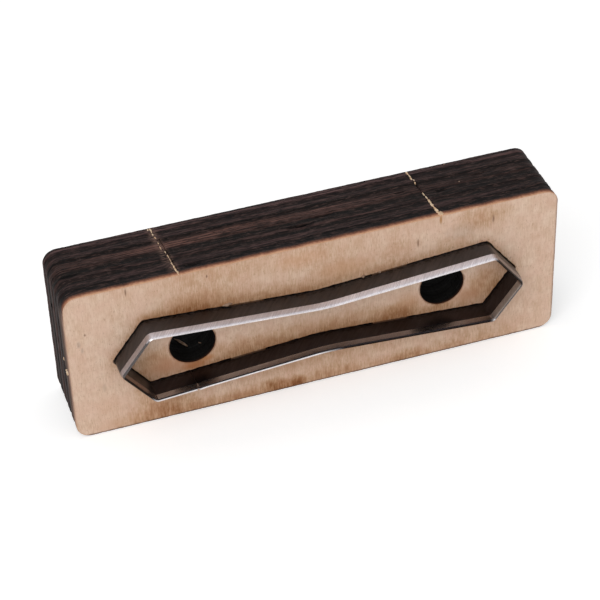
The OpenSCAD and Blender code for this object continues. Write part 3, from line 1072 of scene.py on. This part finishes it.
def toasted_edges(w, wood, here, front, ragged):
    """The outline of the face, toasted all round and darker below and at the right."""
    reached = [
        w.most(w.minus(w.size(value), half - BOARD_CORNER_R), 0.0)
        for value, half in ((here.x, HALF_W), (here.v, HALF_H))
    ]
    to_edge = w.plus(w.far(*reached), w.wander(ragged, 0.5))
    wood = w.stain(wood, TOASTED_EDGE, w.rise(to_edge, BOARD_CORNER_R - 0.55, BOARD_CORNER_R + 0.05), 0.28)
    low = w.rise(w.plus(here.v, w.times(ragged, 0.4)), 0.75 - HALF_H, 0.45 - HALF_H)
    wood = w.stain(wood, LOW_EDGE, low, front, 0.8)
    right = w.rise(w.minus(here.x, w.times(ragged, 0.4)), HALF_W - 0.75, HALF_W - 0.4)
    return w.stain(wood, RIGHT_EDGE, right, front, 0.6)


def face_veneer():
    """Pale birch of the board's faces, scorched round the cuts."""
    w = Finish("birch_face_veneer", IOR=1.45, Specular_IOR_Level=0.28)
    here = w.place()
    front = w.math("LESS_THAN", here.depth, 1.0)
    grain = w.effect(GRAIN, Fibre_width=0.24, Fibre_length=1.7)
    specks = w.noise(here.at, (0.45, 0.45, 0.7), 3.0, 0.7)
    ragged = w.noise(here.at, (0.8, 0.8, 1.6), 3.0)
    near = w.effect(NEAR_RULE)["Distance"]
    from_bridge = w.size(w.minus(w.size(here.x), BRIDGE_X))
    wood = clean_birch(w, here, front, grain, specks)
    wood = w.blend(1.0, wood, heat(w, here, front, near, ragged, from_bridge, grain["Figure"]), "MULTIPLY")
    wood = burnt_rims(w, wood, here, front, near, ragged, from_bridge, specks)
    wood = toasted_edges(w, flecked(w, wood, here, front), here, front, ragged)
    height = w.minus(grain["Fibres"], w.times(grain["Pores"], 0.6))
    roughness = w.range(grain["Figure"], 0.66, 0.5)
    return w.done(Base_Color=wood, Roughness=roughness, Normal=w.bump(height, 0.04, 0.5))


# Sides of the board

# Burnt veneers down the side, by share of the board's thickness
SIDE_BANDS = shades(
    (0.0, 46, 39, 39), (0.1, 24, 22, 23), (0.17, 20, 18, 18), (0.2, 50, 42, 42),
    (0.25, 54, 44, 44), (0.28, 22, 17, 16), (0.345, 20, 15, 14), (0.37, 54, 44, 43),
    (0.4, 50, 41, 40), (0.43, 14, 10, 9), (0.51, 15, 11, 9), (0.545, 64, 51, 48),
    (0.655, 72, 57, 54), (0.69, 20, 14, 12), (0.75, 20, 15, 14), (0.78, 54, 44, 44),
    (0.83, 52, 43, 43), (0.85, 26, 19, 19), (0.9, 28, 21, 21), (0.925, 76, 64, 64),
    (0.97, 64, 54, 55), (1.0, 32, 27, 28),
)

# Tan, dark and burnt-out stretches of the top side: place along, behind, half sizes, strength, colour
TOP_STRETCHES = [
    (-18.0, 10.9, 34.0, 1.9, 0.6, paint(100, 76, 68)), (40.0, 9.0, 32.0, 8.0, 0.85, paint(24, 19, 18)),
    (1.6, 8.2, 9.0, 1.3, 0.7, paint(18, 15, 15)),
]

# How the fibres of the char darken or lighten a veneer, from its deepest streak to its palest
STREAK_SHADES = [(0.0, (0.2, 0.17, 0.175, 1)), (0.5, (0.8, 0.68, 0.66, 1)), (1.0, (2.08, 1.68, 1.61, 1))]
ASH, CINDER, CUT_GREY = paint(94, 74, 69), paint(17, 15, 15), paint(78, 66, 64)
CRUMB_PALE, CRUMB_BLACK = paint(100, 78, 73), paint(13, 11, 11)
# Painted shade inside the burnt-out voids, and the grey of torn wood
VOID_PAINTED_SHADE, TORN_GREY = paint(9, 8, 8), paint(128, 102, 92)

# Edge of the face veneer, toasted from its rim inwards, by share of the depth reached
TOAST_DEPTH, TOAST = 2.0, shades(
    (0.0, 212, 166, 134), (0.2, 182, 130, 102), (0.4, 126, 83, 65), (0.62, 76, 54, 47),
    (0.86, 42, 33, 32),
)
END_TOAST_DEPTH, END_TOAST = 5.0, shades(
    (0.0, 194, 158, 136), (0.2, 160, 126, 107), (0.4, 120, 92, 79), (0.65, 98, 78, 68),
    (0.95, 70, 58, 53),
)
# Painted shade of the left end
LEFT_END_PAINTED_SHADE = (0.66, 0.56, 0.53, 1)


def charred_plies(w, here, top, soot):
    """Bands of burnt veneers, streaked and crumbling."""
    waves = w.noise(here.at, (14.0, 60.0, 14.0))
    burnt = w.bands(w.over(w.plus(here.depth, w.wander(waves, 0.12)), BOARD_T), SIDE_BANDS)
    for x, depth, half_x, half_depth, strength, colour in TOP_STRETCHES:
        mask = w.spot(here.x, here.depth, (x, depth), (half_x, half_depth), 0.3)
        burnt = w.stain(burnt, colour, mask, top, strength)
    burnt = w.blend(1.0, burnt, w.bands(w.rise(soot["Shade"], 0.34, 0.66), STREAK_SHADES), "MULTIPLY")
    crumbs = w.noise(here.at, (2.6, 0.42, 2.6), 4.0, 0.66)
    for speckle, low, high, strength, colour in (
        (soot["Flecks"], 0.56, 0.7, 0.45, ASH), (soot["Flecks"], 0.44, 0.32, 0.55, CINDER),
        (soot["Marks"], 0.55, 0.75, 0.2, CUT_GREY), (crumbs, 0.52, 0.68, 0.45, CRUMB_PALE),
        (crumbs, 0.49, 0.36, 0.85, CRUMB_BLACK),
    ):
        burnt = w.stain(burnt, colour, w.rise(speckle, low, high), strength)
    return burnt


def hollowed(w, burnt, here, top, soot):
    """Black voids darkened as painted shade, and the grey torn wood along the left tab."""
    for x, v, depth, long, wide, _ in VOIDS:
        at_end = abs(x) == HALF_W
        along, centre, out, edge = (here.v, v, here.x, x) if at_end else (here.x, x, here.v, v)
        on_side = w.rise(w.times(out, math.copysign(1, edge)), abs(edge) - 1, abs(edge) - 0.9)
        mask = w.spot(along, here.depth, (centre, depth), (long * 1.6, wide * 1.9), 0.2)
        # Painted shade in the void
        burnt = w.stain(burnt, VOID_PAINTED_SHADE, mask, on_side, 0.92)
    leaning = w.times(w.minus(BOARD_T / 2, here.depth), math.tan(TAB_LEAN))
    beside = w.minus(w.minus(here.x, TAB_LEFT_X), leaning)
    torn = w.times(w.rise(w.size(w.plus(beside, 0.3)), 1.7, 0.2), w.rise(soot["Flecks"], 0.42, 0.6), top)
    return w.stain(burnt, TORN_GREY, torn, 0.6)


def toasted_veneer(w, burnt, here, soot):
    """The edge of the face veneer, brown on the top side, and the left end, toasted at its front and darkened
    as painted shade.
    """
    ragged = w.noise(here.at, (0.6, 0.6, 0.6), 3.0, 0.65)
    slow = w.noise(here.at, (5.0, 30.0, 5.0), 3.0)
    reached = w.plus(here.depth, w.range(ragged, 0.4, -0.4), w.range(slow, 0.6, -0.6))
    toast = w.bands(w.over(reached, TOAST_DEPTH, clamp=True), TOAST)
    top_side = w.range(w.rise(here.v, HALF_H - 3.2, HALF_H - 0.4), 0.35, 1.0)
    burnt = w.stain(burnt, toast, w.rise(reached, 1.75, 1.25), top_side)
    left_end = w.rise(here.x, 2.4 - HALF_W, 0.4 - HALF_W)
    # The left end darkened as painted shade
    burnt = w.blend(left_end, burnt, LEFT_END_PAINTED_SHADE, "MULTIPLY")
    end_toast = w.bands(w.over(reached, END_TOAST_DEPTH, clamp=True), END_TOAST)
    below_corner = w.rise(here.v, HALF_H - 2.6, HALF_H - 7.0)
    fading = w.times(w.rise(reached, 5.0, 3.2), w.range(soot["Shade"], 0.75, 1.0))
    return w.stain(burnt, end_toast, left_end, below_corner, fading)


def burnt_side():
    """Charred edges of the veneers, with the toasted edge of the face veneer."""
    w = Finish("burnt_ply_edges", IOR=1.5, Specular_IOR_Level=0.08)
    here = w.place()
    top = w.rise(here.v, HALF_H - 1.2, HALF_H - 0.8)
    soot = w.effect(CHAR, Fibre_run=21.0, Cut_mark=0.3)
    burnt = hollowed(w, charred_plies(w, here, top, soot), here, top, soot)
    burnt = toasted_veneer(w, burnt, here, soot)
    roughness = w.range(soot["Shade"], 0.5, 0.8)
    return w.done(Base_Color=burnt, Roughness=roughness, Normal=w.bump(soot["Height"], 0.12, 0.8))


def burnt_kerf():
    """Black charcoal of the kerf and of the push-out holes, browner at its lip."""
    w = Finish("burnt_kerf_and_holes", IOR=1.5, Specular_IOR_Level=0.09)
    soot = w.effect(CHAR, Fibre_run=3.0, Cut_mark=0.4)
    black = w.blend(w.rise(soot["Flecks"], 0.4, 0.75), paint(9, 8, 7), paint(27, 22, 20))
    lip = w.rise(w.place().depth, 0.7, 0.0)
    black = w.stain(black, paint(92, 54, 36), lip, w.range(soot["Marks"], 0.2, 0.7))
    roughness = w.range(soot["Marks"], 0.5, 0.85)
    return w.done(Base_Color=black, Roughness=roughness, Normal=w.bump(soot["Height"], 0.15, 0.9))


def torn_wood(name, dark, light, stain):
    """Raw fibres of a torn tab or a loose chip."""
    w = Finish(name, IOR=1.45, Specular_IOR_Level=0.25, Roughness=0.75)
    grain = w.effect(GRAIN, Fibre_width=0.12, Fibre_length=0.5)
    wood = w.stain(w.blend(grain["Figure"], dark, light), stain, w.cloudy(1.3), 0.5)
    return w.done(Base_Color=wood, Normal=w.bump(grain["Fibres"], 0.08, 0.7))


# Steel of the rule

SCRATCH, RESIDUE = paint(112, 104, 102), paint(26, 22, 20)
# Greys of the painted dark reflections on the bevels and on the edge
BEVEL_REFLECTION_GREY, EDGE_REFLECTION_DARK = paint(124, 117, 117), paint(38, 29, 25)
# Painted brown reflection of the wood on the lower right bevel
WOOD_REFLECTION_DARK, WOOD_REFLECTION_LIGHT = paint(150, 136, 126), paint(178, 163, 152)
HONED_DARK, HONED_LIGHT, HONED_DULL = paint(218, 211, 213), paint(242, 238, 240), paint(170, 162, 163)

# Painted dark reflections on the bevels and on the edge, along the upper and the lower runs: place along,
# amount
BEVEL_DARK_REFLECTION = (
    [
        (-44.5, 0.55), (-38.6, 0.5), (-37.6, 0.2), (-5.0, 0.28),
        (3.0, 0.0), (37.6, 0.1), (38.6, 0.8), (44.5, 0.7),
    ],
    [
        (-44.5, 0.6), (-38.6, 0.6), (-37.6, 0.0), (-1.0, 0.0),
        (3.0, 0.5), (37.4, 0.5), (38.6, 0.0), (44.5, 0.0),
    ],
)
EDGE_DARK_REFLECTION = (
    [(-44.5, 0.9), (-38.6, 0.88), (-37.8, 0.05), (37.4, 0.0), (38.4, 1.0), (44.5, 1.0)],
    [
        (-44.5, 1.0), (-38.8, 1.0), (-38.0, 0.1), (-2.0, 0.0), (3.5, 1.0),
        (37.0, 1.0), (37.8, 0.72), (38.8, 0.88), (44.5, 0.88),
    ],
)


def rule_flank(name, dull, oily):
    """Dark blued side of the hardened rule, faintly streaked, with residue where it enters the board."""
    w = Finish(name, Metallic=1.0)
    here = w.place()
    marks = w.effect(GRINDING, Pitch=0.7)
    clouds = w.cloudy(3.2)
    steel = w.blend(w.rise(marks["Marks"], 0.25, 0.8), dull, oily)
    steel = w.stain(steel, dull, clouds, 0.35)
    steel = w.stain(steel, SCRATCH, marks["Scratches"], 0.25)
    by_face = w.times(w.rise(here.depth, -1.8, -0.1), w.rise(here.depth, 3.0, 1.0))
    patchy = w.rise(w.noise(here.at, (0.9, 0.5, 0.9), 3.0), 0.46, 0.62)
    steel = w.stain(steel, RESIDUE, by_face, patchy, 0.75)
    roughness = w.range(clouds, 0.3, 0.44)
    return w.done(Base_Color=steel, Roughness=roughness, Normal=w.bump(marks["Marks"], 0.006, 0.3))


def rule_bevel(name, dark, light, smooth, rough):
    """Bright bevel, ground across the edge, with painted dark reflection on some runs and a painted brown
    reflection of the wood on the lower right one.
    """
    w = Finish(name, Metallic=1.0)
    here = w.place()
    marks = w.effect(GRINDING, Pitch=0.2)["Marks"]
    steel = w.blend(w.rise(marks, 0.25, 0.75), dark, light)
    steel = w.stain(steel, dark, w.cloudy(5.0), 0.3)
    # Painted dark reflection on the bevel along some runs
    steel = w.stain(steel, BEVEL_REFLECTION_GREY, w.along_rule(*BEVEL_DARK_REFLECTION), w.range(marks, 1.1, 0.9))
    # Painted brown reflection of the wood, with rougher steel, on the lower right short run
    wood_reflection = w.times(w.rise(here.x, CORNER_X - 0.6, CORNER_X + 0.8), w.rise(here.v, 0.4, -0.4))
    steel = w.stain(steel, w.blend(w.rise(marks, 0.3, 0.7), WOOD_REFLECTION_DARK, WOOD_REFLECTION_LIGHT), wood_reflection, 0.9)
    roughness = w.plus(w.times(wood_reflection, 0.24), w.range(marks, smooth, rough))
    return w.done(Base_Color=steel, Roughness=roughness, Normal=w.bump(marks, 0.006, 0.3))


def rule_edge():
    """Honed cutting edge, with painted dark reflection on some runs."""
    w = Finish("rule_honed_edge", Metallic=1.0)
    marks = w.effect(GRINDING, Pitch=0.16)["Marks"]
    steel = w.blend(w.rise(marks, 0.3, 0.65), HONED_DARK, HONED_LIGHT)
    steel = w.stain(steel, HONED_DULL, w.cloudy(4.0), 0.3)
    # Painted dark reflection on the edge along some runs
    steel = w.blend(w.along_rule(*EDGE_DARK_REFLECTION), steel, EDGE_REFLECTION_DARK)
    return w.done(Base_Color=steel, Roughness=w.range(marks, 0.14, 0.26))


# The die

die_board(face_veneer(), burnt_side(), burnt_kerf())
outer_flank = rule_flank("rule_blued_outside", paint(76, 76, 80), paint(92, 91, 95))
inner_flank = rule_flank("rule_sooty_inside", paint(56, 53, 57), paint(69, 66, 71))
outer_bevel = rule_bevel("rule_ground_bevel_outside", paint(178, 173, 179), paint(236, 231, 237), 0.28, 0.38)
inner_bevel = rule_bevel("rule_ground_bevel_inside", paint(170, 166, 169), paint(204, 200, 203), 0.18, 0.26)
cutting_rule(outer_flank, outer_bevel, rule_edge(), inner_flank, inner_bevel)
torn_tabs(torn_wood("torn_raw_wood", paint(206, 172, 134), paint(244, 226, 200), paint(192, 138, 94)))
loose_chips(torn_wood("scorched_chip_wood", paint(128, 100, 80), paint(184, 158, 136), paint(112, 84, 66)))


# Floor, light and camera

WHITE, FLOOR_GREY = (1, 1, 1, 1), (0.86, 0.86, 0.86, 1)
FLOOR_HALF, FLOOR_GLOW = 6.0, 0.42
WORLD_LIGHT = 0.55

# Soft boxes in metres: name, place, width, watts
SOFT_BOXES = [("key_softbox", (-0.95, -1.1, 1.2), 1.2, 13.0), ("top_softbox", (-0.2, 0.6, 1.5), 1.2, 1.4)]
LIGHT_AIM = Vector((0, 0, 0.018))

CAMERA_TURN, CAMERA_LIFT, CAMERA_ROLL = (math.radians(a) for a in (-17.135, 38.449, -2.208))
CAMERA_AIM, CAMERA_AWAY = Vector((-4.091, FACE_Y, 23.459)) * MM, 445.43 * MM
CAMERA_LENS, CAMERA_SENSOR = 126.872, 36.0
CAMERA_NEAREST, CAMERA_FURTHEST = 0.01, 30.0


def seen(w):
    """1 for what the camera or a reflection sees, 0 for what lights the die."""
    path = w.add("ShaderNodeLightPath").outputs
    return w.most(w.most(path["Is Camera Ray"], path["Is Glossy Ray"]), path["Is Transmission Ray"])


def floor():
    mesh = bpy.data.meshes.new("studio_floor")
    e = FLOOR_HALF
    mesh.from_pydata([(-e, -e, 0), (e, -e, 0), (e, e, 0), (-e, e, 0)], [], [(0, 1, 2, 3)])
    w = Finish("pale_floor", Roughness=0.9, Specular_IOR_Level=0.0)
    w.done(Base_Color=FLOOR_GREY, Emission_Color=WHITE)
    mesh.materials.append(w.done(Emission_Strength=w.times(seen(w), FLOOR_GLOW)))
    obj = bpy.data.objects.new("studio_floor", mesh)
    bpy.context.scene.collection.objects.link(obj)


def studio():
    world = bpy.data.worlds.new("soft_studio")
    bpy.context.scene.world = world
    world.use_nodes = True
    w = Wiring(world.node_tree)
    sky = world.node_tree.nodes["Background"].inputs
    sky["Color"].default_value = WHITE
    w.feed(sky["Strength"], w.range(seen(w), WORLD_LIGHT, 1.0))
    for name, at, width, watts in SOFT_BOXES:
        lamp = bpy.data.lights.new(name, "AREA")
        lamp.energy, lamp.size = watts, width
        obj = bpy.data.objects.new(name, lamp)
        obj.location = at
        obj.rotation_mode = "QUATERNION"
        obj.rotation_quaternion = (LIGHT_AIM - Vector(at)).to_track_quat("-Z", "Y")
        bpy.context.scene.collection.objects.link(obj)


def camera():
    level, rising = math.cos(CAMERA_LIFT), math.sin(CAMERA_LIFT)
    back = Vector((math.sin(CAMERA_TURN) * level, -math.cos(CAMERA_TURN) * level, rising))
    right = (-back).cross(Vector((0, 0, 1))).normalized()
    up = right.cross(-back)
    c, s = math.cos(CAMERA_ROLL), math.sin(CAMERA_ROLL)
    columns = (c * right + s * up, c * up - s * right, back)
    lens = bpy.data.cameras.new("camera")
    lens.lens, lens.sensor_width = CAMERA_LENS, CAMERA_SENSOR
    lens.clip_start, lens.clip_end = CAMERA_NEAREST, CAMERA_FURTHEST
    obj = bpy.data.objects.new("camera", lens)
    turned = Matrix(columns).transposed().to_4x4()
    obj.matrix_world = Matrix.Translation(CAMERA_AIM + back * CAMERA_AWAY) @ turned
    bpy.context.scene.collection.objects.link(obj)
    bpy.context.scene.camera = obj


floor()
studio()
camera()
bpy.context.scene.view_settings.view_transform = "Standard"
